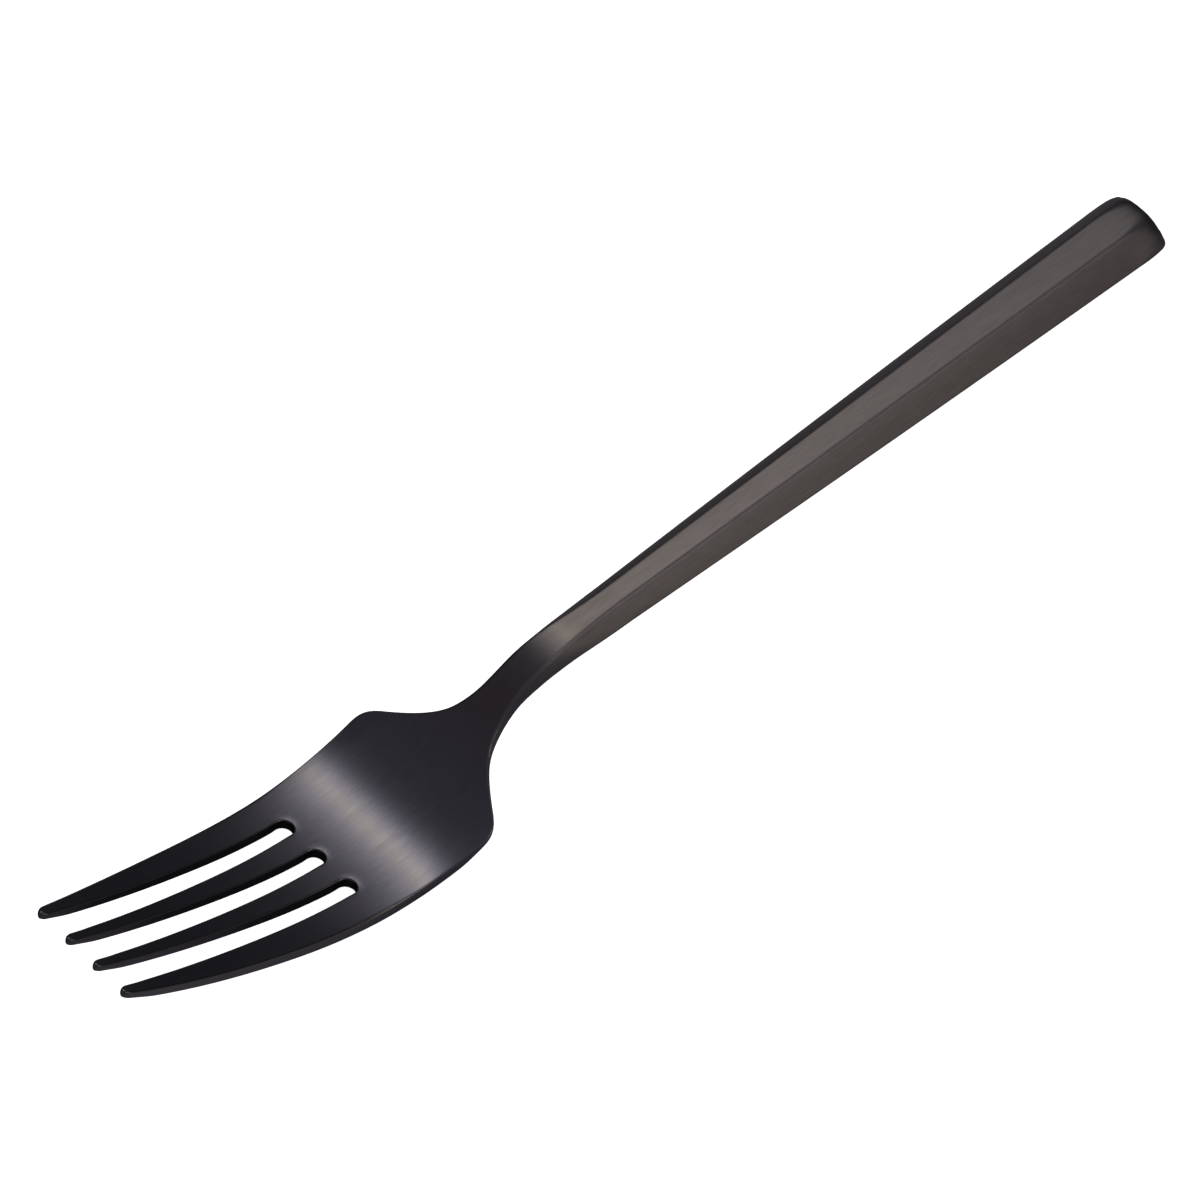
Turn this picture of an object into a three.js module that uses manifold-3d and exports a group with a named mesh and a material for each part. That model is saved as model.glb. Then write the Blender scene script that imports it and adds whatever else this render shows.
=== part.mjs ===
// Dessert fork with a hollow six-sided handle, lying on a table with its tines curving up.
// Millimetres. +X runs from the tine tips to the end of the handle, +Y is the fork's left and +Z is up.
// The head is one piece of steel with a spigot and a tang. Two pressed half shells, filled with resin, make
// the handle.
import * as THREE from 'three';
import { mergeVertices } from 'three/addons/utils/BufferGeometryUtils.js';
import Module from 'manifold-3d';

const wasm = await Module();
wasm.setup();

// Lengths along the fork, one after another from the tine tips to the end of the handle
const slotLength = 38.8;
const palmLength = 17.7;
const shoulderRun = 7.6;
const throatRun = 7.3;
const neckRun = 16.6;
const handleLength = 93.3;

// The head's outline in plan: widths across the fork, and slopes of one edge
const tipFlare = 0.154;
const shoulderWidth = 24.66;
const sideFlare = 0.049;
const shoulderSlope = -1.494;
const shoulderRounding = 3.0;
const throatWidth = 7.2;
const throatSlope = -0.473;
const waistWidth = 4.4;

// The four tines and the three slots between them
const tineTipWidth = 1.3;
const tineRootWidth = 3.38;
const slotTipWidth = 3.7;
const slotRootWidth = 2.46;
const tipRounding = 0.8;
const tipNose = 0.5;

// The head's side profile: places, heights of its top face over the table, and slopes
const tipHeight = 21.87;
const tipSlope = -0.69;
const tineBendDistance = 24.1;
const tineBendHeight = 8.03;
const tineBendSlope = -0.477;
const bellyBehindSlots = 7.1;
const riseBehindShoulder = 11.75;
const riseHeight = 8.4;
const riseSlope = 0.643;
const straightBeforeMouth = 8.5;
const mouthHeight = 10.72;

// Steel thickness of the head, the foot of its side walls, and where the neck starts to swell and to flare
const palmThickness = 1.97;
const tineTipThickness = 1.45;
const wallFoot = 0.55;
const swellBeforeShoulder = 1.5;
const flareBehindThroat = 2;

// The handle's hexagon: top facet, width over the side edges and depth, at its mouth and at its end
const mouthFacet = 3.0;
const mouthWidth = 6.67;
const mouthDepth = 4.82;
const endFacet = 4.76;
const endWidth = 10.72;
const endDepth = 7.53;
const sideBulge = 0.17;

// The handle's domed end: where the taper stops, the turn of its edge, and the bow and flat middle of its face
const endAllowance = 1.9;
const endRun = 2.2;
const endSideInset = 0.6;
const endFaceInset = 1.0;
const endBow = 0.9;
const endFlatShare = 0.2;

// Inside the handle: shell wall, clearance between pieces, spigot, tang and resin
const shellWall = 0.6;
const fitGap = 0.3;
const spigotLength = 8;
const tangStep = 0.7;
const tangLength = 26;
const resinPastTang = 30;

// Fineness of the curved surfaces, and how far a cut runs past what it cuts
const headSpacing = 1.5;
const handleSpacing = 6;
const roundingSteps = 4;
const arcSegments = 10;
const overcut = 1;

// Cubic pieces through stations of [distance, value, slope]
function smoothThrough(stations) {
  return (x) => {
    const last = stations.length - 2;
    const found = stations.findIndex((station, i) => i > 0 && x <= station[0]);
    const i = found < 0 ? last : found - 1;
    const [x0, v0, g0] = stations[i];
    const [x1, v1, g1] = stations[i + 1];
    const span = x1 - x0;
    const u = (x - x0) / span;
    const rise = u * u * (3 - 2 * u);
    return v0 + (v1 - v0) * rise + span * u * (1 - u) * (g0 * (1 - u) - g1 * u);
  };
}

// Distances from the tine tips
const shoulderDistance = slotLength + palmLength;
const throatDistance = shoulderDistance + shoulderRun;
const waistDistance = throatDistance + throatRun;
const mouthDistance = waistDistance + neckRun;
const forkLength = mouthDistance + handleLength;
const swellStart = shoulderDistance - swellBeforeShoulder;
const flareStart = throatDistance + flareBehindThroat;
const rimDistance = forkLength - endBow;
const spigotEnd = mouthDistance + spigotLength;
const tangEnd = spigotEnd + tangLength;

// The handle tapers from its mouth, 0, to just short of its end, 1
const taperLength = handleLength - endAllowance;
const taperAt = (x) => (x - mouthDistance) / taperLength;
const handleSlope = (endDepth - mouthHeight) / taperLength;

// Height of the top face over the table, along the whole fork
const topHeight = smoothThrough([
  [0, tipHeight, tipSlope],
  [tineBendDistance, tineBendHeight, tineBendSlope],
  [slotLength + bellyBehindSlots, palmThickness, 0],
  [shoulderDistance + riseBehindShoulder, riseHeight, riseSlope],
  [mouthDistance - straightBeforeMouth, mouthHeight - handleSlope * straightBeforeMouth, handleSlope],
  [mouthDistance, mouthHeight, handleSlope],
  [mouthDistance + taperLength, endDepth, handleSlope],
]);

// Half the width of the head's top face; the shoulder corner is rounded over a tangent length on each side
const rearRun = shoulderRounding / Math.hypot(1, shoulderSlope);
const facetSpread = (endFacet - mouthFacet) / 2 / taperLength;
const slotTipPitch = slotTipWidth + tineTipWidth;
const slotRootPitch = slotRootWidth + tineRootWidth;
const headHalfWidth = smoothThrough([
  [0, slotTipPitch + slotTipWidth / 2 + tineTipWidth, tipFlare],
  [shoulderDistance - shoulderRounding, shoulderWidth / 2 - sideFlare * shoulderRounding, sideFlare],
  [shoulderDistance + rearRun, shoulderWidth / 2 + shoulderSlope * rearRun, shoulderSlope],
  [throatDistance, throatWidth / 2, throatSlope],
  [waistDistance, waistWidth / 2, 0],
  [mouthDistance, mouthFacet / 2, facetSpread],
]);

// Steel thickness of the tines and the palm, with the tips rounded off like a nose
function sheetThickness(x) {
  const body = THREE.MathUtils.lerp(tineTipThickness, palmThickness, Math.min(x / slotLength, 1));
  const fromFull = 1 - Math.min(x / tipRounding, 1);
  return body * (1 - tipNose * fromFull * fromFull);
}

// A hexagon's half facet, half width and half depth, with all six sides moved in by an inset
function insetHexagon(facet, width, depth, inset) {
  const lean = width - facet;
  const side = Math.hypot(lean, depth);
  return {
    halfFacet: facet / 2 - (inset * (side - lean)) / depth,
    halfWidth: width / 2 - (inset * side) / depth,
    halfDepth: depth / 2 - inset,
  };
}

// The handle's hexagon at a distance; its side edges bow out a little between mouth and end
function handleHexagon(x, inset) {
  const u = taperAt(x);
  const bulge = 8 * sideBulge * u * (1 - u);
  const facet = THREE.MathUtils.lerp(mouthFacet, endFacet, u);
  const width = THREE.MathUtils.lerp(mouthWidth, endWidth, u) + bulge;
  const depth = THREE.MathUtils.lerp(mouthDepth, endDepth, u);
  return insetHexagon(facet, width, depth, inset);
}

// Height of the plane through the handle's two side edges, where the shells meet
const seamHeight = (x) => topHeight(x) - THREE.MathUtils.lerp(mouthDepth, endDepth, taperAt(x)) / 2;

// Even distances from start to finish, about one spacing apart
function distances(start, finish, spacing) {
  const count = Math.ceil((finish - start) / spacing);
  return Array.from({ length: count + 1 }, (_, i) => start + ((finish - start) * i) / count);
}

// A closed solid through rings of [y, z] points, each ring convex and anticlockwise seen from +X
function loft(rings) {
  const sides = rings[0].points.length;
  const positions = rings.flatMap(({ x, points }) => points.flatMap(([y, z]) => [x, y, z]));
  const index = [];
  for (let ring = 0; ring < rings.length - 1; ring += 1) {
    for (let side = 0; side < sides; side += 1) {
      const next = (side + 1) % sides;
      const a = ring * sides + side;
      const b = ring * sides + next;
      index.push(a, b, a + sides, b, b + sides, a + sides);
    }
  }
  const back = (rings.length - 1) * sides;
  for (let side = 1; side < sides - 1; side += 1) {
    index.push(0, side + 1, side);
    index.push(back, back + side, back + side + 1);
  }
  const geometry = new THREE.BufferGeometry();
  geometry.setAttribute('position', new THREE.Float32BufferAttribute(positions, 3));
  geometry.setIndex(index);
  return geometry;
}

// Solids for cutting and joining
function solidOf(geometry) {
  const bare = geometry.clone();
  bare.deleteAttribute('normal');
  bare.deleteAttribute('uv');
  const merged = mergeVertices(bare);
  const vertProperties = new Float32Array(merged.getAttribute('position').array);
  const triVerts = new Uint32Array(merged.getIndex().array);
  return new wasm.Manifold(new wasm.Mesh({ numProp: 3, vertProperties, triVerts }));
}

function geometryOf(solid) {
  const mesh = solid.getMesh();
  const geometry = new THREE.BufferGeometry();
  geometry.setAttribute('position', new THREE.BufferAttribute(mesh.vertProperties, 3));
  geometry.setIndex(new THREE.BufferAttribute(mesh.triVerts, 1));
  geometry.computeVertexNormals();
  return geometry;
}

// One cross section of the head: flat steel at the palm, swelling to the handle's hexagon at the mouth
function headRing(x) {
  const swell = THREE.MathUtils.smoothstep(x, swellStart, mouthDistance);
  const flare = THREE.MathUtils.smoothstep(x, flareStart, mouthDistance);
  const half = headHalfWidth(x);
  const wide = half + (flare * (mouthWidth - mouthFacet)) / 2;
  const sheet = sheetThickness(x);
  const top = topHeight(x) - (x < tipRounding ? (tineTipThickness - sheet) / 2 : 0);
  const thickness = THREE.MathUtils.lerp(sheet, mouthDepth, swell);
  const edge = top - THREE.MathUtils.lerp(sheet - wallFoot, mouthDepth / 2, swell);
  const bottom = top - thickness;
  const points = [[wide, edge], [half, top], [-half, top], [-wide, edge], [-half, bottom], [half, bottom]];
  return { x, points };
}

const spigotInset = shellWall + fitGap;

// The six corners of a hexagon round the height of its side edges
function hexagonPoints({ halfFacet, halfWidth, halfDepth }, seam) {
  return [
    [halfWidth, seam], [halfFacet, seam + halfDepth], [-halfFacet, seam + halfDepth],
    [-halfWidth, seam], [-halfFacet, seam - halfDepth], [halfFacet, seam - halfDepth],
  ];
}

// The handle's six-sided ring at a distance, with its sides moved in
function hexagonRing(x, inset, sectionAt = x) {
  return { x, points: hexagonPoints(handleHexagon(sectionAt, inset), seamHeight(x)) };
}

// A ring of the domed end: drawn in by a turn from 0 to 1 round its edge, then shrunk to a share of that size
function endRing(x, sectionAt, turn, share) {
  const { halfFacet, halfWidth, halfDepth } = handleHexagon(sectionAt, 0);
  const narrowed = share * (1 - (endSideInset * turn) / halfWidth);
  const section = {
    halfFacet: halfFacet * narrowed,
    halfWidth: halfWidth * narrowed,
    halfDepth: (halfDepth - endFaceInset * turn) * share,
  };
  return { x, points: hexagonPoints(section, seamHeight(sectionAt)) };
}

// The plan of one gap between two tines, open past the tips, where it flares to round their corners
function slotShape(centreAtRoot, centreAtTip) {
  const rootRadius = slotRootWidth / 2;
  const rootCentre = slotLength - rootRadius;
  const tipHalf = slotTipWidth / 2;
  const flare = tipRounding / 2;
  const shape = new THREE.Shape();
  shape.moveTo(-overcut, centreAtTip - tipHalf - flare);
  shape.lineTo(0, centreAtTip - tipHalf - flare);
  shape.quadraticCurveTo(0, centreAtTip - tipHalf, tipRounding, centreAtTip - tipHalf);
  shape.lineTo(rootCentre, centreAtRoot - rootRadius);
  shape.absarc(rootCentre, centreAtRoot, rootRadius, -Math.PI / 2, Math.PI / 2, false);
  shape.lineTo(tipRounding, centreAtTip + tipHalf);
  shape.quadraticCurveTo(0, centreAtTip + tipHalf, 0, centreAtTip + tipHalf + flare);
  shape.lineTo(-overcut, centreAtTip + tipHalf + flare);
  return shape;
}

// Head: a blank lofted along the S-curve, three slots cut between the tines, then spigot and tang
function forkHead() {
  const noseEnd = 2 * tipRounding;
  const noseStations = distances(0, noseEnd, tipRounding / roundingSteps);
  const bodyStations = distances(noseEnd, mouthDistance, headSpacing).slice(1);
  const blank = solidOf(loft([...noseStations, ...bodyStations].map(headRing)));
  const cutHeight = tipHeight + 2 * overcut;
  const slots = [-1, 0, 1].map((side) => {
    const shape = slotShape(side * slotRootPitch, side * slotTipPitch);
    const options = { depth: cutHeight, bevelEnabled: false, curveSegments: arcSegments };
    return solidOf(new THREE.ExtrudeGeometry(shape, options).translate(0, 0, -overcut));
  });
  const tines = slots.reduce((steel, slot) => steel.subtract(slot), blank);
  const sunk = spigotLength / 4;
  const spigotStations = distances(mouthDistance - sunk, spigotEnd, headSpacing);
  const spigot = solidOf(loft(spigotStations.map((x) => hexagonRing(x, spigotInset))));
  const tang = solidOf(tangBar(spigotEnd - sunk, 0));
  return geometryOf(tines.add(spigot).add(tang));
}

// The tang, or with a margin the pocket that takes it: the spigot's hexagon drawn down to an even bar
function tangBar(start, margin) {
  const inset = spigotInset + tangStep - margin;
  return loft([start, tangEnd + margin].map((x) => hexagonRing(x, inset, mouthDistance)));
}

// Handle shell: the upper or lower half of the hexagon with a domed end, hollowed to an even wall
function handleShell(upper) {
  const bodyStations = distances(mouthDistance, rimDistance - endRun, handleSpacing);
  const steps = Array.from({ length: roundingSteps }, (_, i) => (i + 1) / roundingSteps);
  const edgeRings = steps.map((t) => {
    const x = rimDistance - endRun * (1 - t) ** 2;
    return endRing(x, x, t * t, 1);
  });
  const faceRings = steps.map((t) => {
    const x = forkLength - endBow * (1 - t) ** 2;
    return endRing(x, rimDistance, 1, 1 - t * (1 - endFlatShare));
  });
  const rings = [...bodyStations.map((x) => hexagonRing(x, 0)), ...edgeRings, ...faceRings];
  const kept = upper ? [0, 1, 2, 3] : [3, 4, 5, 0];
  const half = rings.map(({ x, points }) => ({ x, points: kept.map((i) => points[i]) }));
  const hollowEnd = mouthDistance + taperLength - shellWall;
  const hollowStations = distances(mouthDistance - overcut, hollowEnd, handleSpacing);
  const hollow = hollowStations.map((x) => hexagonRing(x, shellWall));
  return geometryOf(solidOf(loft(half)).subtract(solidOf(loft(hollow))));
}

// Filling: hard resin cast in the handle behind the spigot, with the pocket that the tang leaves in it
function handleFiller() {
  const start = spigotEnd + fitGap;
  const stations = distances(start, tangEnd + resinPastTang, handleSpacing);
  const resin = solidOf(loft(stations.map((x) => hexagonRing(x, spigotInset))));
  return geometryOf(resin.subtract(solidOf(tangBar(start - overcut, fitGap))));
}

// Satin black coated steel, and grey resin
const blackSteel = new THREE.MeshStandardMaterial({ color: 0x2c2a2b, roughness: 0.42, metalness: 0.85 });
const greyResin = new THREE.MeshStandardMaterial({ color: 0x8f8b84, roughness: 0.8, metalness: 0 });

function named(name, geometry, material) {
  const mesh = new THREE.Mesh(geometry, material);
  mesh.name = name;
  return mesh;
}

// The fork stands on its own middle: the origin is below the centre of its length
const fork = new THREE.Group();
fork.position.x = -forkLength / 2;
fork.add(named('fork_head', forkHead(), blackSteel));
fork.add(named('handle_top_shell', handleShell(true), blackSteel));
fork.add(named('handle_bottom_shell', handleShell(false), blackSteel));
fork.add(named('handle_filler', handleFiller(), greyResin));

export default fork;
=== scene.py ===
import math

import bmesh
import bpy
import numpy as np
from mathutils import Matrix, Vector


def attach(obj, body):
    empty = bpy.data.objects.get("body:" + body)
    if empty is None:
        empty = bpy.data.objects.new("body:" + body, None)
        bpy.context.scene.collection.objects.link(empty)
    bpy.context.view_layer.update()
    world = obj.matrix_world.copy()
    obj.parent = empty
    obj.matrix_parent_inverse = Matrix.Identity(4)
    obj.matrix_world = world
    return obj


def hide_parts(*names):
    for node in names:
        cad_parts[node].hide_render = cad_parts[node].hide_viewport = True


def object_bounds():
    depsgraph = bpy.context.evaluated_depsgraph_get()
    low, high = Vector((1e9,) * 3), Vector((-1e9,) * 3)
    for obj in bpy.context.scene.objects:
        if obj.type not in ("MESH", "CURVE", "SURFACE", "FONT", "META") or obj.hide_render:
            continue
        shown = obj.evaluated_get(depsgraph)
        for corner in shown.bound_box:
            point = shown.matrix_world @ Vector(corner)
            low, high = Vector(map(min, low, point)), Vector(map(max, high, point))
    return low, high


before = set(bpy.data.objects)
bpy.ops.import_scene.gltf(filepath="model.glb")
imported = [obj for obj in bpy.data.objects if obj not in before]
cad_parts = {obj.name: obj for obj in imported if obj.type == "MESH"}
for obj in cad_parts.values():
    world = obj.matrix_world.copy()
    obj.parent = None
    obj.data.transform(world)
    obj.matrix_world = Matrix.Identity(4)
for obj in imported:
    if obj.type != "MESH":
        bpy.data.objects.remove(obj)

cad_low, cad_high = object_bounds()

# Camera. A long lens beyond the tines, on the fork's right, looking down on it and not tilted sideways.
# Its angle, distance and aim were fitted to the outline of the fork in the square photograph.
mm = 0.001
camera_azimuth = math.radians(-42.73)
camera_elevation = math.radians(55.92)
camera_distance = 1200 * mm
camera_aim = Vector((cad_low.x, 0, 0)) + Vector((87.26, 1.98, 7.73)) * mm
lens_length = 287.4
film_width = 36


def direction(azimuth, elevation):
    """Unit vector towards a place that many radians round from -Y, turning to +X, and up from level."""
    level = math.cos(elevation)
    return Vector((math.sin(azimuth) * level, -math.cos(azimuth) * level, math.sin(elevation)))


camera_data = bpy.data.cameras.new("long_lens")
camera_data.lens = lens_length
camera_data.sensor_width = film_width
camera_data.clip_start = 10 * mm
camera_data.clip_end = 100
camera = bpy.data.objects.new("long_lens", camera_data)
camera_back = direction(camera_azimuth, camera_elevation)
camera.location = camera_aim + camera_back * camera_distance
camera.rotation_mode = "QUATERNION"
camera.rotation_quaternion = (-camera_back).to_track_quat("-Z", "Y")
scene = bpy.context.scene
scene.collection.objects.link(camera)
scene.camera = camera
scene.view_settings.view_transform = "Standard"

# Table and room. A plain white table glows enough to show no shadow. What the steel mirrors is dimmer: a grey
# table top with painted light and shade, painted lighter to the right and still lighter further out there,
# a painted shadow under the palm, painted darker with distance, and a room that glows from five sides.
table_half = 4000 * mm
table_white = (0.9, 0.9, 0.9, 1)
table_roughness = 0.9
table_glow = 1.0
mirrored_table_shaded_left = (0.38, 0.39, 0.42, 1)
mirrored_table_lit_right = (0.52, 0.52, 0.58, 1)
mirrored_table_lit_outer = (0.84, 0.83, 0.84, 1)
lit_outer_start = 12 * mm
lit_outer_end = 30 * mm
mirrored_table_far_shade = (0.05, 0.05, 0.06, 1)
mirrored_table_painted_shadow = (0.12, 0.12, 0.14, 1)
side_blend = 6 * mm
fade_start = 100 * mm
fade_end = 350 * mm
painted_shadow_place = (cad_low.x + 34 * mm, 0, 0)
painted_shadow_narrowing = (0.45, 1, 1)
painted_shadow_start = 9 * mm
painted_shadow_end = 12.5 * mm
room_white = (1, 1, 1, 1)
room_glows = (
    ((0, 0, 1), (0.31, 0.31, 0.38)),
    ((0.95, 0.3, 0.05), (0.07, 0.067, 0.083)),
    ((0, -1, 0.3), (0.32, 0.33, 0.37)),
    ((-1, 0, 0.2), (0.32, 0.24, 0.24)),
    ((-0.55, 0.45, 0.7), (0.06, 0.04, 0.05)),
)
glow_focus = 4


def nodes_of(owner):
    """An owner's emptied node tree, as its nodes and its links."""
    owner.use_nodes = True
    owner.node_tree.nodes.clear()
    return owner.node_tree.nodes, owner.node_tree.links


def seen_and_mirrored(nodes, links, seen, mirrored):
    """A shader that the camera sees as one shader, and every other ray as another."""
    path = nodes.new("ShaderNodeLightPath")
    choice = nodes.new("ShaderNodeMixShader")
    links.new(path.outputs["Is Camera Ray"], choice.inputs["Fac"])
    links.new(mirrored.outputs[0], choice.inputs[1])
    links.new(seen.outputs[0], choice.inputs[2])
    return choice.outputs["Shader"]


def graded(nodes, links, measure, start, finish, first, last):
    """A colour that goes smoothly from first to last as a measure goes from start to finish.

    The first and the last are colours, or sockets that give one.
    """
    share = nodes.new("ShaderNodeMapRange")
    share.interpolation_type = "SMOOTHSTEP"
    share.inputs["From Min"].default_value = start
    share.inputs["From Max"].default_value = finish
    links.new(measure, share.inputs["Value"])
    colour = nodes.new("ShaderNodeMix")
    colour.data_type = "RGBA"
    for socket, end in (("A", first), ("B", last)):
        if isinstance(end, tuple):
            colour.inputs[socket].default_value = end
        else:
            links.new(end, colour.inputs[socket])
    links.new(share.outputs["Result"], colour.inputs["Factor"])
    return colour.outputs["Result"]


table_mesh = bpy.data.meshes.new("table")
table_corners = np.array([(-1, -1, 0), (1, -1, 0), (1, 1, 0), (-1, 1, 0)]) * table_half
table_mesh.from_pydata(table_corners.tolist(), [], [(0, 1, 2, 3)])
table = bpy.data.objects.new("table", table_mesh)
scene.collection.objects.link(table)
table_paint = bpy.data.materials.new("white_table")
nodes, links = nodes_of(table_paint)
white = nodes.new("ShaderNodeBsdfPrincipled")
white.inputs["Base Color"].default_value = table_white
white.inputs["Roughness"].default_value = table_roughness
white.inputs["Emission Color"].default_value = room_white
white.inputs["Emission Strength"].default_value = table_glow
spot = nodes.new("ShaderNodeTexCoord")
distance = nodes.new("ShaderNodeVectorMath")
distance.operation = "LENGTH"
links.new(spot.outputs["Object"], distance.inputs[0])
across = nodes.new("ShaderNodeSeparateXYZ")
links.new(spot.outputs["Object"], across.inputs["Vector"])
leftward = across.outputs["Y"]
# Painted light on the mirrored table: lighter to the right, and lighter still further out there.
right = graded(nodes, links, leftward, -lit_outer_end, -lit_outer_start, mirrored_table_lit_outer, mirrored_table_lit_right)
near = graded(nodes, links, leftward, -side_blend, side_blend, right, mirrored_table_shaded_left)
beside = nodes.new("ShaderNodeVectorMath")
beside.operation = "SUBTRACT"
links.new(spot.outputs["Object"], beside.inputs[0])
beside.inputs[1].default_value = painted_shadow_place
narrowed = nodes.new("ShaderNodeVectorMath")
narrowed.operation = "MULTIPLY"
links.new(beside.outputs["Vector"], narrowed.inputs[0])
narrowed.inputs[1].default_value = painted_shadow_narrowing
reach = nodes.new("ShaderNodeVectorMath")
reach.operation = "LENGTH"
links.new(narrowed.outputs["Vector"], reach.inputs[0])
# Painted shadow on the mirrored table under the palm.
shaded = graded(nodes, links, reach.outputs["Value"], painted_shadow_start, painted_shadow_end, mirrored_table_painted_shadow, near)
grey = nodes.new("ShaderNodeBsdfDiffuse")
# Painted shade: the mirrored table darkens with distance.
fade = graded(nodes, links, distance.outputs["Value"], fade_start, fade_end, shaded, mirrored_table_far_shade)
links.new(fade, grey.inputs["Color"])
surface = nodes.new("ShaderNodeOutputMaterial").inputs["Surface"]
links.new(seen_and_mirrored(nodes, links, white, grey), surface)
table_mesh.materials.append(table_paint)

world = bpy.data.worlds.new("studio_room")
scene.world = world
nodes, links = nodes_of(world)
heading = nodes.new("ShaderNodeTexCoord")
glow = None
for side, colour in room_glows:
    facing = nodes.new("ShaderNodeVectorMath")
    facing.operation = "DOT_PRODUCT"
    facing.inputs[1].default_value = Vector(side).normalized()
    links.new(heading.outputs["Generated"], facing.inputs[0])
    forward = nodes.new("ShaderNodeMath")
    forward.operation = "MAXIMUM"
    links.new(facing.outputs["Value"], forward.inputs[0])
    forward.inputs[1].default_value = 0
    focus = nodes.new("ShaderNodeMath")
    focus.operation = "POWER"
    links.new(forward.outputs["Value"], focus.inputs[0])
    focus.inputs[1].default_value = glow_focus
    tint = nodes.new("ShaderNodeVectorMath")
    tint.operation = "SCALE"
    tint.inputs[0].default_value = colour
    links.new(focus.outputs["Value"], tint.inputs["Scale"])
    total = nodes.new("ShaderNodeVectorMath")
    links.new(tint.outputs["Vector"], total.inputs[0])
    if glow:
        links.new(glow, total.inputs[1])
    glow = total.outputs["Vector"]
mirrored = nodes.new("ShaderNodeBackground")
links.new(glow, mirrored.inputs["Color"])
backdrop = nodes.new("ShaderNodeBackground")
backdrop.inputs["Color"].default_value = room_white
surface = nodes.new("ShaderNodeOutputWorld").inputs["Surface"]
links.new(seen_and_mirrored(nodes, links, backdrop, mirrored), surface)


# Lamps. A reflector arches over the handle's end, dimmer the further down it goes. Above it are a warm strip
# and a narrow cool one, and two warm panels stand to the right, one high and one low. All face the fork.
lamp_distance = 960
cool_strip = (17, 19)
cool_light = (6.4, 7.2, 10.1)
warm_strip = (19, 23)
warm_light = (7.6, 6.15, 3.6)
reflector_sides = (23, 25, 28, 32, 38, 46, 57, 70)
reflector_length = 520
reflector_lean = 0.35
reflector_falloff = 11
reflector_light = (4.23, 4.03, 4.28)
panel_size = (420, 200)
high_panel = (400, -640, 650)
high_light = (3.7, 3.2, 3.2)
low_panel = (400, -920, 100)
low_light = (2.05, 1.8, 1.55)


def softbox(name, place, size, light):
    """A rectangular lamp at a place in mm, turned to the fork, its second side lying across the fork.

    The light is its radiance in red, green and blue.
    """
    lamp = bpy.data.lights.new(name, "AREA")
    lamp.shape = "RECTANGLE"
    lamp.size = size[0] * mm
    lamp.size_y = size[1] * mm
    lamp.energy = max(light) * math.pi * lamp.size * lamp.size_y
    lamp.color = [part / max(light) for part in light]
    box = bpy.data.objects.new(name, lamp)
    box.location = Vector(place) * mm
    away = box.location.normalized()
    along = Vector((0, 1, 0)).cross(away).normalized()
    box.rotation_mode = "QUATERNION"
    box.rotation_quaternion = Matrix((along, away.cross(along), away)).transposed().to_quaternion()
    box.visible_camera = False
    scene.collection.objects.link(box)


def overhead(name, first, last, light):
    """A softbox on the arch between two turns, in degrees from straight up towards the handle's end."""
    radius = lamp_distance * math.sqrt(1 - reflector_lean ** 2)
    turn = math.radians((first + last) / 2)
    place = (radius * math.sin(turn), lamp_distance * reflector_lean, radius * math.cos(turn))
    softbox(name, place, (radius * math.radians(last - first), reflector_length), light)


overhead("cool_strip", *cool_strip, cool_light)
overhead("warm_strip", *warm_strip, warm_light)
for first, last in zip(reflector_sides[:-1], reflector_sides[1:]):
    share = math.exp((reflector_sides[0] - (first + last) / 2) / reflector_falloff)
    overhead(f"reflector_{first}", first, last, [part * share for part in reflector_light])
softbox("high_panel", high_panel, panel_size, high_light)
softbox("low_panel", low_panel, panel_size, low_light)

# Fork head. One piece of stainless steel, blanked, slotted into four tines and bent along an S-curve, with
# edges rounded by tumbling. Behind the throat it swells to the handle's hexagon, and a spigot and a tang
# run on into the handle. It is brushed along its length and coated satin black.
slot_length = 38.8
palm_length = 17.7
shoulder_run = 7.6
throat_run = 7.3
neck_run = 16.6
shoulder_place = slot_length + palm_length
throat_place = shoulder_place + shoulder_run
waist_place = throat_place + throat_run
mouth_place = waist_place + neck_run
taper_length = 91.4

tine_tip_width = 1.3
tine_root_width = 3.38
slot_tip_width = 3.7
slot_root_width = 2.46
slot_tip_pitch = slot_tip_width + tine_tip_width
slot_root_pitch = slot_root_width + tine_root_width
root_radius = slot_root_width / 2
root_centre = slot_length - root_radius
nose_start = 0.35
nose_length = 1.0
nose_end = nose_start + nose_length
nose_rows = 9
wall_rows = 61
root_rows = 13
back_rows = 95
roll_shares = (0.55, 0.8)

palm_thickness = 1.97
tine_tip_thickness = 1.45
belly_place = slot_length + 7.6
swell_start = shoulder_place - 1.5
flare_start = throat_place + 2.0
wall_foot = 0.55
rounding_share = 0.45
slot_rounding = 0.28
ridge_rounding = 0.28
side_rounding = 0.45
palm_rounding = 0.2
nose_rounding = 0.6
nose_blend = 5.0
nose_tuck = 0.3
slot_tuck = 0.2
slot_tuck_start = root_centre - 1.0
roll_depth = 0.065
roll_width = 1.0
side_roll_depth = 0.16
side_roll_width = 3.5
side_roll_lead = 12.0
side_roll_fade = 4.0
shoulder_tuck = 0.45
shoulder_tuck_start = belly_place + 4.0
handle_rounding = 0.42
side_crown = 0.1

mouth_facet, mouth_width, mouth_depth = 3.0, 6.67, 4.82
end_facet, end_width, end_depth = 4.76, 10.72, 7.53
mouth_height = 10.8
handle_slope = (end_depth - mouth_height) / taper_length
facet_spread = (end_facet - mouth_facet) / 2 / taper_length
tip_height = 21.87
tip_slope = -0.69
bend_place = 24.1
bend_height = 8.03
bend_slope = -0.477
rise_place = shoulder_place + 11.75
rise_height = 8.4
rise_slope = 0.643
straight_run = 5.5
crest_run = 10.0
crest_height = 11.07
crest_slope = 0.058


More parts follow.
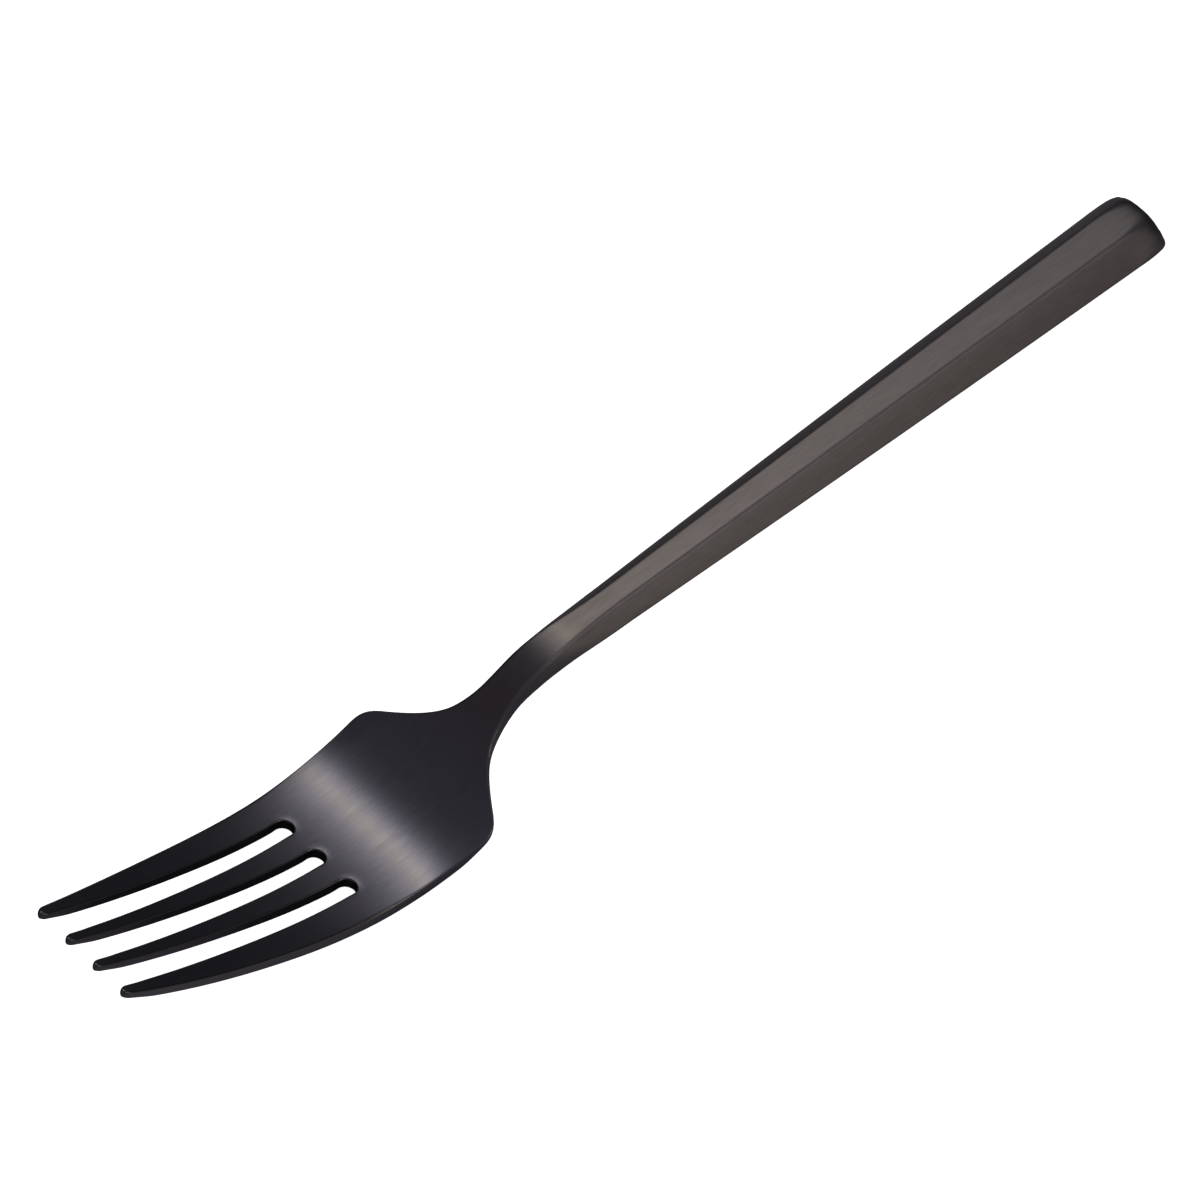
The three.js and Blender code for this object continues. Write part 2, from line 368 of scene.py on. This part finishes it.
def smooth_through(stations):
    """The curve of cubic pieces through stations of place, value and slope, and that curve's slope.

    In each piece u runs from 0 to 1, and the value is v0 + (v1 - v0) u^2 (3 - 2u) + span u (1 - u)
    (g0 (1 - u) - g1 u), for values v and slopes g.
    """
    places, values, slopes = np.array(stations, float).T

    def piece(x):
        i = np.clip(np.searchsorted(places, x, side="right") - 1, 0, len(places) - 2)
        span = places[i + 1] - places[i]
        return i, span, (x - places[i]) / span

    def value(x):
        i, span, u = piece(x)
        rise = (values[i + 1] - values[i]) * u * u * (3 - 2 * u)
        return values[i] + rise + span * u * (1 - u) * (slopes[i] * (1 - u) - slopes[i + 1] * u)

    def slope(x):
        i, span, u = piece(x)
        chord = 6 * u * (1 - u) * (values[i + 1] - values[i]) / span
        return chord + slopes[i] * (1 - u) * (1 - 3 * u) - slopes[i + 1] * u * (2 - 3 * u)

    return value, slope


def eased(x, start, finish):
    """Smoothly from 0 at start to 1 at finish: u^2 (3 - 2u)."""
    u = np.clip((x - start) / (finish - start), 0, 1)
    return u * u * (3 - 2 * u)


def blend(a, b, share):
    """Straight from a, at share 0, to b, at share 1."""
    return a + (b - a) * share


top_height, top_slope = smooth_through([
    (0, tip_height, tip_slope),
    (bend_place, bend_height, bend_slope),
    (belly_place, palm_thickness, 0),
    (rise_place, rise_height, rise_slope),
    (mouth_place - crest_run, crest_height, crest_slope),
    (mouth_place - straight_run, mouth_height - handle_slope * straight_run, handle_slope),
    (mouth_place, mouth_height, handle_slope),
    (mouth_place + taper_length, end_depth, handle_slope),
])
tip_spread = 0.07
tip_half = slot_tip_pitch + slot_tip_width / 2 + tine_tip_width + tip_spread
tip_flare = 0.154
shoulder_half = 12.4
shoulder_rounding = 2.4
shoulder_slope = -1.494
side_flare = 0.049
throat_half = 3.66
throat_slope = -0.473
waist_half = 2.24
rear_run = shoulder_rounding / math.hypot(1, shoulder_slope)
half_width, half_width_slope = smooth_through([
    (0, tip_half, tip_flare),
    (shoulder_place - shoulder_rounding, shoulder_half - side_flare * shoulder_rounding, side_flare),
    (shoulder_place + rear_run, shoulder_half + shoulder_slope * rear_run, shoulder_slope),
    (throat_place, throat_half, throat_slope),
    (waist_place, waist_half, 0),
    (mouth_place, mouth_facet / 2, facet_spread),
])

# Stations along each edge of a tine: round the nose, down the slot's wall, round its root and on to the mouth
nose_turn = np.linspace(0, np.pi / 2, nose_rows)
nose_x = nose_start + nose_length * (1 - np.cos(nose_turn))
wall_x = np.linspace(nose_end, root_centre, wall_rows)[1:]
root_turn = np.linspace(0, np.pi / 2, root_rows)[1:]
root_x = root_centre + root_radius * np.sin(root_turn)
roll_x = slot_length + roll_width * np.array(roll_shares)
back_x = np.append(roll_x, np.linspace(slot_length + roll_width, mouth_place, back_rows))
station_x = np.concatenate([nose_x, wall_x, root_x, back_x])
root_end = len(station_x) - len(back_x)


def slot_beside(tine, hand):
    """The slot at a tine's left edge, hand 1, or right edge, hand -1.

    It is 1, 0 or -1 from the left slot to the right one, or None at the fork's sides.
    """
    slot = (2 if hand > 0 else 1) - tine
    return slot if abs(slot) < 2 else None


def edge_line(tine, hand, x):
    """Where an edge of a tine lies across the fork, and its slope.

    The edge is the head's own side or a slot's straight wall.
    """
    slot = slot_beside(tine, hand)
    if slot is None:
        return hand * half_width(x), hand * half_width_slope(x)
    at_tip = slot * slot_tip_pitch - hand * slot_tip_width / 2
    at_root = slot * slot_root_pitch - hand * root_radius
    slope = (at_root - at_tip) / root_centre
    return at_tip + slope * x, np.full_like(x, slope)


def tine_edge(tine, hand):
    """An edge of a tine in plan, from its nose to the mouth, with the outward normals.

    The nose is a quarter of an ellipse, x = length (1 - cos t), y = middle + half sin t. A slot ends in a
    quarter circle, and behind it the edge is a line inside the steel, whose normal is nought.
    """
    left, left_slope = edge_line(tine, 1, nose_x)
    right, right_slope = edge_line(tine, -1, nose_x)
    inward = (left + right) / 2
    outward = (left - right) / 2 * hand
    bulge = np.sin(nose_turn)
    nose_y = inward + outward * bulge
    run = nose_length * bulge
    drift = (left_slope + right_slope) / 2 + hand * (left_slope - right_slope) / 2 * bulge
    rise = drift * run + outward * np.cos(nose_turn)
    nose_normal = np.stack([-rise, run], 1)
    slot = slot_beside(tine, hand)
    if slot is None:
        y, slope = edge_line(tine, hand, station_x[len(nose_x):])
        normal = np.stack([-slope, np.ones_like(slope)], 1)
    else:
        wall_y, slope = edge_line(tine, hand, wall_x)
        root_y = slot * slot_root_pitch - hand * root_radius * np.cos(root_turn)
        inside_y = slot * slot_root_pitch * half_width(back_x) / half_width(slot_length)
        y = np.concatenate([wall_y, root_y, inside_y])
        wall_normal = np.stack([-slope, np.ones_like(slope)], 1)
        root_normal = np.stack([-hand * np.sin(root_turn), np.cos(root_turn)], 1)
        normal = np.concatenate([wall_normal, root_normal, np.zeros((len(back_x), 2))])
    normals = hand * np.concatenate([nose_normal, normal])
    length = np.linalg.norm(normals, axis=1, keepdims=True)
    points = np.stack([station_x, np.concatenate([nose_y, y])], 1)
    return points, normals / np.where(length > 0, length, 1)


def sheet_thickness(x):
    """The steel's thickness, growing evenly from the tips to the slots' roots."""
    return blend(tine_tip_thickness, palm_thickness, np.clip(x / slot_length, 0, 1))


def under_top(plan, depth):
    """Points so deep under the top face: square to it in front of the belly, straight down further back."""
    x, y = plan[..., 0], plan[..., 1]
    slope = np.where(x < belly_place, top_slope(x), 0)
    lean = depth / (1 + slope * slope)
    return np.stack([x + slope * lean, y, top_height(x) - lean], -1)


def rolled_over(plan):
    """How far the top face rolls down towards the slots' roots and, on the palm, towards the head's sides.

    Each roll is depth (1 - d / width)^2, where d is the distance from the root's rim or from the side.
    """
    x, y = plan[..., 0], plan[..., 1]
    roll = np.zeros_like(x)
    for slot in (-1, 0, 1):
        rim = np.hypot(x - root_centre, y - slot * slot_root_pitch) - root_radius
        roll += roll_depth * np.clip(1 - np.maximum(rim, 0) / roll_width, 0, 1) ** 2
    roll *= eased(x, root_centre - root_radius, root_centre)
    from_side = np.maximum(half_width(x) - np.abs(y), 0)
    on_palm = eased(x, slot_length - side_roll_lead, slot_length)
    on_palm *= 1 - eased(x, shoulder_place - side_roll_fade, shoulder_place + side_roll_fade)
    return roll + on_palm * side_roll_depth * np.clip(1 - from_side / side_roll_width, 0, 1) ** 2


corner_steps = 6


def rounded_corner(corner, before, after, reach):
    """A corner made round by a quadratic curve that starts and ends at that reach before and after it."""
    s = np.linspace(0, 1, corner_steps + 1)[:, None]
    start = (corner - reach * before)[:, None]
    finish = (corner + reach * after)[:, None]
    return (1 - s) ** 2 * start + 2 * s * (1 - s) * corner[:, None] + s ** 2 * finish


def unit(vectors):
    """Vectors shortened or stretched to length 1."""
    return vectors / np.linalg.norm(vectors, axis=-1, keepdims=True)


wall_steps = 5


def crowned(start, finish, crown):
    """The inner points of a wall from start to finish that bulges by a crown: 4 crown t (1 - t) outward."""
    t = np.linspace(0, 1, wall_steps + 1)[1:-1, None]
    run = finish - start
    outward = unit(run[:, ::-1] * (1, -1))[:, None]
    return start[:, None] + run[:, None] * t + 4 * crown[:, None, None] * t * (1 - t) * outward


def side_profile(flare, ridge_depth, depth, reaches, crown, tuck):
    """A section's side, in reach outward and depth below its top corner.

    It goes over the rounded top edge, out along a crowned wall to the ridge, and back in to the bottom edge,
    which may be tucked in. The ridge is drawn proud by as much as its rounding takes off. The reaches are
    those of the roundings of the top edge, the ridge and the bottom edge.
    """
    top_reach, ridge_reach, bottom_reach = reaches
    nought = np.zeros_like(flare)
    outward = np.stack([nought + 1, nought], 1)
    proud = ridge_reach / 2 * flare / np.hypot(flare, ridge_depth)
    ridge = np.stack([flare + proud, ridge_depth], 1)
    bottom = np.stack([-tuck, depth], 1)
    down = unit(ridge)
    under = unit(bottom - ridge)
    top_arc = rounded_corner(np.zeros_like(ridge), outward, down, top_reach[:, None])
    ridge_arc = rounded_corner(ridge, down, under, ridge_reach[:, None])
    bottom_arc = rounded_corner(bottom, under, -outward, bottom_reach[:, None])
    upper_wall = crowned(top_arc[:, -1], ridge_arc[:, 0], crown)
    lower_wall = crowned(ridge_arc[:, -1], bottom_arc[:, 0], crown)
    return np.concatenate([top_arc, upper_wall, ridge_arc, lower_wall, bottom_arc], 1)


def edge_profile(x, tuck, edge_rounding):
    """The head's side at places x, how far its roundings reach in over the two faces, and its whole depth.

    The neck swells from a flat sheet to the handle's hexagon, so its ridge moves out and down as it goes.
    Where the bottom edge is tucked in, the wall above it is lower. A rounding takes no more than a share of
    the wall that it ends on.
    """
    swell = eased(x, swell_start, mouth_place)
    spread = eased(x, flare_start, mouth_place)
    sheet = sheet_thickness(x)
    nose = eased(x, 0, nose_blend)
    depth = blend(sheet, mouth_depth, swell)
    foot = blend(sheet / 2, wall_foot, nose) + tuck * nose
    ridge_depth = blend(sheet - foot, mouth_depth / 2, swell)
    flare = spread * (mouth_width - mouth_facet) / 2
    rounding = blend(blend(nose_rounding, edge_rounding, nose), handle_rounding, spread)
    top_reach = np.minimum(rounding, rounding_share * ridge_depth)
    bottom_reach = np.minimum(rounding, rounding_share * (depth - ridge_depth))
    ridge_reach = np.minimum(ridge_rounding, np.minimum(top_reach, bottom_reach))
    crown = side_crown * spread
    profile = side_profile(flare, ridge_depth, depth, (top_reach, ridge_reach, bottom_reach), crown, tuck)
    return profile, top_reach[:, None], bottom_reach[:, None], depth


def brush_of(points):
    """Map of the brushing: distance along the first way of a grid, and across it, in metres."""
    middle = points[:, points.shape[1] // 2]
    along = np.linalg.norm(np.diff(middle, axis=0, prepend=middle[:1]), axis=1).cumsum()
    across = np.linalg.norm(np.diff(points, axis=1, prepend=points[:, :1]), axis=2).cumsum(1)
    return np.stack([np.broadcast_to(along[:, None], across.shape), across], -1) * mm


across_steps = 18
# Edge values peak at the middle of each rounding. They paint the edges lighter, as wear and as a painted
# highlight.
head_ridge_wear_and_glint = 0.3
across_share = (1 - np.cos(np.linspace(0, np.pi, across_steps + 1)))[None, :, None] / 2
corner_wear_and_glint = 4 * np.linspace(0, 1, corner_steps + 1) * np.linspace(1, 0, corner_steps + 1)
wall_wear_and_glint = np.zeros(wall_steps - 1)
side_wear_and_glint = np.concatenate([corner_wear_and_glint, wall_wear_and_glint, head_ridge_wear_and_glint * corner_wear_and_glint, wall_wear_and_glint, corner_wear_and_glint])
head_grids = []
straight_across = eased(station_x, throat_place, waist_place)[:, None]
tip_tuck = nose_tuck * (1 - eased(station_x, 0, nose_blend))
past_shoulder = eased(station_x, shoulder_place, throat_place)
at_palm = eased(station_x, root_centre, belly_place) * (1 - past_shoulder)
outer_rounding = blend(side_rounding, palm_rounding, at_palm)
at_shoulder = eased(station_x, shoulder_tuck_start, shoulder_place) * (1 - past_shoulder)
side_tuck = tip_tuck + shoulder_tuck * at_shoulder
inner_tuck = tip_tuck + slot_tuck * eased(station_x, slot_tuck_start, slot_length)
top_rows, bottom_rows, side_rows = [], [], []
for tine in range(4):
    top_lines, bottom_lines = [], []
    for hand in (1, -1):
        points, normals = tine_edge(tine, hand)
        at_side = slot_beside(tine, hand) is None
        if at_side:
            sideways = np.stack([np.zeros_like(station_x), np.full_like(station_x, hand)], 1)
            normals = unit(blend(normals, sideways, straight_across))
        tuck = side_tuck if at_side else inner_tuck
        edge_rounding = outer_rounding if at_side else slot_rounding
        profile, top_reach, bottom_reach, depth = edge_profile(station_x, tuck, edge_rounding)
        top_lines.append((points - top_reach * normals)[:, None])
        bottom_lines.append((points - (bottom_reach + tuck[:, None]) * normals)[:, None])
        count = len(station_x) if at_side else root_end
        plan = points[:count, None] + profile[:count, :, :1] * normals[:count, None]
        down = profile[:count, :, 1]
        side = under_top(plan, down + rolled_over(plan) * (1 - down / depth[:count, None]))
        head_grids.append((side, brush_of(side), np.broadcast_to(side_wear_and_glint, side.shape[:2])))
        if at_side:
            side_rows.append(side[-1])
    flat_wear_and_glint = np.zeros((len(station_x), across_steps + 1))
    top_plan = blend(*top_lines, across_share)
    bottom_plan = blend(*bottom_lines, across_share)
    top = under_top(top_plan, rolled_over(top_plan))
    bottom = under_top(bottom_plan, flat_wear_and_glint + depth[:, None])
    head_grids += [(top, top_plan * mm, flat_wear_and_glint), (bottom, bottom_plan * mm, flat_wear_and_glint)]
    top_rows.append(top[-1])
    bottom_rows.append(bottom[-1])


def handle_section(x):
    """The handle's hexagon at places x: half its top facet, half its width and half its depth."""
    u = (x - mouth_place) / taper_length
    facet = blend(mouth_facet, end_facet, u) / 2
    width = blend(mouth_width, end_width, u) / 2
    depth = blend(mouth_depth, end_depth, u) / 2
    return facet, width, depth


def inset_section(section, inset):
    """A hexagon with its six sides moved in by an inset."""
    facet, width, depth = section
    lean = width - facet
    side = np.hypot(lean, depth)
    return facet - inset * (side - lean) / depth, width - inset * side / depth, depth - inset


def seam_height(x):
    """Height of the plane through the handle's two side ridges."""
    return top_height(x) - handle_section(x)[2]


# The spigot and the tang carry the mouth's outline on, drawn in to the hexagons that fit inside the handle
shell_wall = 0.6
fit_gap = 0.3
spigot_length = 8
tang_step = 0.7
tang_length = 26
spigot_inset = shell_wall + fit_gap
spigot_end = mouth_place + spigot_length
tang_end = spigot_end + tang_length
back_under = [row[::-1] for row in bottom_rows[::-1]]
mouth_ring = np.concatenate([*top_rows, side_rows[1], *back_under, side_rows[0][::-1]])
mouth_ring = np.concatenate([mouth_ring, mouth_ring[:1]])


def drawn_in(x, section_at, inset, whole=1):
    """The mouth's ring moved to x and drawn in to the hexagon of another place with its sides moved in."""
    _, full_width, full_depth = handle_section(mouth_place)
    _, width, depth = inset_section(handle_section(section_at), inset)
    y = mouth_ring[:, 1] * width / full_width * whole
    z = seam_height(x) + (mouth_ring[:, 2] - seam_height(mouth_place)) * depth / full_depth * whole
    return np.stack([np.full_like(y, x), y, z], 1)


tang_inset = spigot_inset + tang_step
spigot = np.stack([
    mouth_ring,
    drawn_in(mouth_place, mouth_place, spigot_inset),
    drawn_in(spigot_end, spigot_end, spigot_inset),
    drawn_in(spigot_end, mouth_place, tang_inset),
    drawn_in(tang_end, mouth_place, tang_inset),
    drawn_in(tang_end, mouth_place, tang_inset, 0),
])
head_grids.append((spigot, brush_of(spigot), np.zeros(spigot.shape[:2])))


merge_distance = 0.0002 * mm
sharp_angle = math.radians(40)


def steel_piece(name, grids):
    """One closed mesh from grids of points in mm from the tips, whose touching rims are merged."""
    tips = cad_low.x
    points = [grid[0].reshape(-1, 3) for grid in grids]
    starts = np.cumsum([0] + [len(p) for p in points])
    squares = []
    for (grid, _, _), start in zip(grids, starts):
        index = start + np.arange(grid.shape[0] * grid.shape[1]).reshape(grid.shape[:2])
        square = np.stack([index[:-1, :-1], index[1:, :-1], index[1:, 1:], index[:-1, 1:]], -1)
        squares.append(square.reshape(-1, 4))
    brush = np.concatenate([grid[1].reshape(-1, 2) for grid in grids])
    wear_and_glint = np.concatenate([grid[2].ravel() for grid in grids])
    mesh = bpy.data.meshes.new(name)
    places = np.concatenate(points) * mm + (tips, 0, 0)
    mesh.from_pydata(places.tolist(), [], np.concatenate(squares).tolist())
    corner_points = np.empty(len(mesh.loops), np.int32)
    mesh.loops.foreach_get("vertex_index", corner_points)
    mesh.uv_layers.new(name="brush").data.foreach_set("uv", brush[corner_points].astype(np.float32).ravel())
    # This attribute paints the rounded edges lighter, as wear and as a painted highlight.
    mesh.attributes.new("wear_and_glint", "FLOAT", "POINT").data.foreach_set("value", wear_and_glint.astype(np.float32))
    shaped = bmesh.new()
    shaped.from_mesh(mesh)
    bmesh.ops.remove_doubles(shaped, verts=shaped.verts, dist=merge_distance)
    bmesh.ops.recalc_face_normals(shaped, faces=shaped.faces)
    shaped.to_mesh(mesh)
    shaped.free()
    mesh.shade_smooth()
    mesh.set_sharp_from_angle(angle=sharp_angle)
    piece = bpy.data.objects.new(name, mesh)
    scene.collection.objects.link(piece)
    return piece


head_tone = (0.081, 0.0805, 0.0893, 1)
handle_tone = (0.0865, 0.0814, 0.0778, 1)
streak_tone = (1.16, 1.16, 1.16, 1)
worn_glint_tone = (0.098, 0.095, 0.096, 1)
finish_lead = 6.0
brush_stretch = 0.6
brush_turn = 0.25
fine_streaks = (320, 5200)
fine_detail = 3
broad_streaks = (60, 900)
broad_detail = 2
noise_low = 0.3
noise_high = 0.7
streak_bump = 0.25
streak_height = 0.004 * mm
head_roughness = 0.29
handle_roughness = 0.385
roughness_play = 0.015


def black_steel():
    """Brushed steel under a black coating, with streaks in tone, gloss and height along it, and edges painted
    lighter, as wear and as a painted highlight on their rounding.

    The finish is finer on the head and coarser from the neck on.
    """
    material = bpy.data.materials.new("black_satin_steel")
    nodes, links = nodes_of(material)
    shader = nodes.new("ShaderNodeBsdfPrincipled")
    shader.inputs["Metallic"].default_value = 1.0
    shader.inputs["Anisotropic"].default_value = brush_stretch
    shader.inputs["Anisotropic Rotation"].default_value = brush_turn
    brush = nodes.new("ShaderNodeUVMap")
    brush.uv_map = "brush"
    grain = nodes.new("ShaderNodeTangent")
    grain.direction_type = "UV_MAP"
    grain.uv_map = "brush"
    links.new(grain.outputs["Tangent"], shader.inputs["Tangent"])

    def streaks(scale, detail):
        """Noise with that many spots to the metre along the brushing and across it."""
        stretched = nodes.new("ShaderNodeMapping")
        stretched.inputs["Scale"].default_value = (*scale, 1)
        noise = nodes.new("ShaderNodeTexNoise")
        noise.noise_dimensions = "2D"
        noise.inputs["Scale"].default_value = 1.0
        noise.inputs["Detail"].default_value = detail
        links.new(brush.outputs["UV"], stretched.inputs["Vector"])
        links.new(stretched.outputs["Vector"], noise.inputs["Vector"])
        return noise.outputs["Fac"]

    def ranged(value, low, high):
        """The noise's usual range stretched to go from low to high."""
        change = nodes.new("ShaderNodeMapRange")
        change.inputs["From Min"].default_value = noise_low
        change.inputs["From Max"].default_value = noise_high
        change.inputs["To Min"].default_value = low
        change.inputs["To Max"].default_value = high
        links.new(value, change.inputs["Value"])
        return change.outputs["Result"]

    fine = streaks(fine_streaks, fine_detail)
    broad = streaks(broad_streaks, broad_detail)
    place = nodes.new("ShaderNodeSeparateXYZ")
    links.new(nodes.new("ShaderNodeTexCoord").outputs["Object"], place.inputs["Vector"])
    neck_start = cad_low.x + shoulder_place * mm
    neck_end = cad_low.x + (mouth_place - finish_lead) * mm
    plain = graded(nodes, links, place.outputs["X"], neck_start, neck_end, head_tone, handle_tone)
    tone = nodes.new("ShaderNodeMix")
    tone.data_type = "RGBA"
    tone.blend_type = "MULTIPLY"
    tone.clamp_result = False
    links.new(plain, tone.inputs["A"])
    tone.inputs["B"].default_value = streak_tone
    links.new(ranged(fine, 0, 1), tone.inputs["Factor"])
    # Edges painted lighter by the attribute: wear, and a painted highlight on the rounded edges.
    worn_glint = nodes.new("ShaderNodeMix")
    worn_glint.data_type = "RGBA"
    worn_glint.inputs["B"].default_value = worn_glint_tone
    edge = nodes.new("ShaderNodeAttribute")
    edge.attribute_name = "wear_and_glint"
    links.new(edge.outputs["Fac"], worn_glint.inputs["Factor"])
    links.new(tone.outputs["Result"], worn_glint.inputs["A"])
    links.new(worn_glint.outputs["Result"], shader.inputs["Base Color"])
    coarser = nodes.new("ShaderNodeMapRange")
    coarser.interpolation_type = "SMOOTHSTEP"
    coarser.inputs["From Min"].default_value = neck_start
    coarser.inputs["From Max"].default_value = neck_end
    coarser.inputs["To Min"].default_value = head_roughness
    coarser.inputs["To Max"].default_value = handle_roughness
    links.new(place.outputs["X"], coarser.inputs["Value"])
    uneven = nodes.new("ShaderNodeMath")
    uneven.operation = "ADD"
    links.new(coarser.outputs["Result"], uneven.inputs[0])
    links.new(ranged(broad, -roughness_play, roughness_play), uneven.inputs[1])
    links.new(uneven.outputs["Value"], shader.inputs["Roughness"])
    bump = nodes.new("ShaderNodeBump")
    bump.inputs["Strength"].default_value = streak_bump
    bump.inputs["Distance"].default_value = streak_height
    links.new(fine, bump.inputs["Height"])
    links.new(bump.outputs["Normal"], shader.inputs["Normal"])
    links.new(shader.outputs["BSDF"], nodes.new("ShaderNodeOutputMaterial").inputs["Surface"])
    return material


head = steel_piece("satin_head", head_grids)
black_satin = black_steel()
head.data.materials.append(black_satin)
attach(head, "root")
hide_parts("fork_head")

# Handle shells. Two pressings of thin stainless steel, each half of a tapering hexagon with a rounded end,
# are soldered edge to edge along the side ridges, ground flush with the head, brushed and coated satin black.
side_bulge = 0.17
handle_length = 93.3
end_bow = 0.9
end_run = 6.0
end_side_inset = 0.6
end_face_inset = 1.0
end_turn = 0.2
end_rounding = 1.8
fade_run = 7.0
body_rows = 90
corner_rows = 12
cap_rows = 10
end_place = mouth_place + handle_length
rim_place = end_place - end_bow


def half_rings(x, turn, inset, upper):
    """Half of the handle's section at places x, from its right ridge over the facets to its left ridge.

    The turn goes from 0 to 1 round the edge of the end. There the sides draw in by its square and the flat
    facets by its fourth power.
    """
    u = (x - mouth_place) / taper_length
    facet, width, depth = handle_section(x)
    facet, width, depth = inset_section((facet, width + 4 * side_bulge * u * (1 - u), depth), inset)
    narrowed = 1 - end_side_inset * turn ** 2 / width
    facet, width = facet * narrowed, width * narrowed
    depth = depth - end_face_inset * turn ** 4
    fade = eased(x, end_place - fade_run, end_place)
    reach = blend(handle_rounding, end_rounding, fade)
    ridge_reach = blend(ridge_rounding, end_rounding, fade)
    nought = np.zeros_like(x)
    reaches = (reach, ridge_reach, reach)
    profile = side_profile(width - facet, depth, 2 * depth, reaches, nought + side_crown, nought)
    middle = profile.shape[1] // 2
    right = profile[:, middle::-1] if upper else profile[:, middle:]
    y = facet[:, None] + right[..., 0]
    z = depth[:, None] - right[..., 1]
    half = np.stack([np.broadcast_to(x[:, None], y.shape), -y, seam_height(x)[:, None] + z], -1)
    return np.concatenate([half, half[:, ::-1] * (1, -1, 1)], 1)


def closed(rings, bow):
    """Rings from the mouth to the end, with rows of size w added that shrink to a point over a bowed end.

    They go over from the last ring's own shape to an ellipse. Its points are scaled by
    w (w^2 + (1 - w^2) / q), where q is their distance from the middle as a share of the ellipse's, and moved
    on by bow (1 - w^2).
    """
    w = np.linspace(1, 0, cap_rows + 1)[1:, None]
    last = rings[-1]
    middle = last[0] * (1, 0, 1)
    out = last - middle
    furthest = np.abs(out).max(0)
    share = np.hypot(out[:, 1] / furthest[1], out[:, 2] / furthest[2])
    scale = w * (w * w + (1 - w * w) / share)
    cap = middle + out * scale[..., None]
    cap[..., 0] += bow * (1 - w * w)
    return np.concatenate([rings, cap])


def handle_half(upper):
    """The inner and the outer wall of half of the handle, as two grids of matching rows from mouth to end.

    Round the end's edge the outer wall turns in along a quadratic curve.
    """
    body_x = np.linspace(mouth_place, rim_place - end_run, body_rows)
    t = np.linspace(0, 1, corner_rows + 1)[1:]
    corner_x = rim_place - end_run * (1 - t) ** 2 - 2 * end_turn * t * (1 - t)
    x = np.concatenate([body_x, corner_x])
    turn = np.concatenate([np.zeros(body_rows), t])
    nought = np.zeros_like(x)
    outer = half_rings(x, turn, nought, upper)
    inner = half_rings(np.minimum(x, rim_place - end_run), nought, nought + shell_wall, upper)
    return closed(inner, 0), closed(outer, end_bow)


# The handle's edges are painted lighter in the same way, as wear and as a painted highlight.
handle_ridge_wear_and_glint = 0.4
handle_edge_wear_and_glint = 0.5
ridge_wear_and_glint = handle_ridge_wear_and_glint * corner_wear_and_glint[corner_steps // 2:]
half_wear_and_glint = np.concatenate([ridge_wear_and_glint, wall_wear_and_glint, handle_edge_wear_and_glint * corner_wear_and_glint])
ring_wear_and_glint = np.concatenate([half_wear_and_glint, half_wear_and_glint[::-1]])
for name, node, upper in (
    ("satin_upper_shell", "handle_top_shell", True),
    ("satin_lower_shell", "handle_bottom_shell", False),
):
    inner, outer = handle_half(upper)
    rim = np.stack([inner[0], outer[0]])
    seams = [np.stack([inner[:, side], outer[:, side]], 1) for side in (0, -1)]
    grids = [(outer, brush_of(outer), np.broadcast_to(ring_wear_and_glint, outer.shape[:2]))]
    grids += [(grid, brush_of(grid), np.zeros(grid.shape[:2])) for grid in (inner, rim, *seams)]
    shell = steel_piece(name, grids)
    shell.data.materials.append(black_satin)
    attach(shell, "root")
    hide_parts(node)

# Filling. Grey casting resin, poured into the handle round the tang, where it set hard. It is out of sight
# once the handle is closed.
resin_dark = (0.20, 0.19, 0.175, 1)
resin_pale = (0.36, 0.34, 0.31, 1)
resin_roughness = 0.7
mottle_scale = 350
mottle_detail = 4
resin = bpy.data.materials.new("grey_resin")
nodes, links = nodes_of(resin)
shader = nodes.new("ShaderNodeBsdfPrincipled")
shader.inputs["Roughness"].default_value = resin_roughness
spot = nodes.new("ShaderNodeTexCoord")
cloud = nodes.new("ShaderNodeTexNoise")
cloud.inputs["Scale"].default_value = mottle_scale
cloud.inputs["Detail"].default_value = mottle_detail
links.new(spot.outputs["Object"], cloud.inputs["Vector"])
mottle = nodes.new("ShaderNodeMix")
mottle.data_type = "RGBA"
mottle.inputs["A"].default_value = resin_dark
mottle.inputs["B"].default_value = resin_pale
links.new(cloud.outputs["Fac"], mottle.inputs["Factor"])
links.new(mottle.outputs["Result"], shader.inputs["Base Color"])
links.new(shader.outputs["BSDF"], nodes.new("ShaderNodeOutputMaterial").inputs["Surface"])
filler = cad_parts["handle_filler"]
filler.data.materials.clear()
filler.data.materials.append(resin)
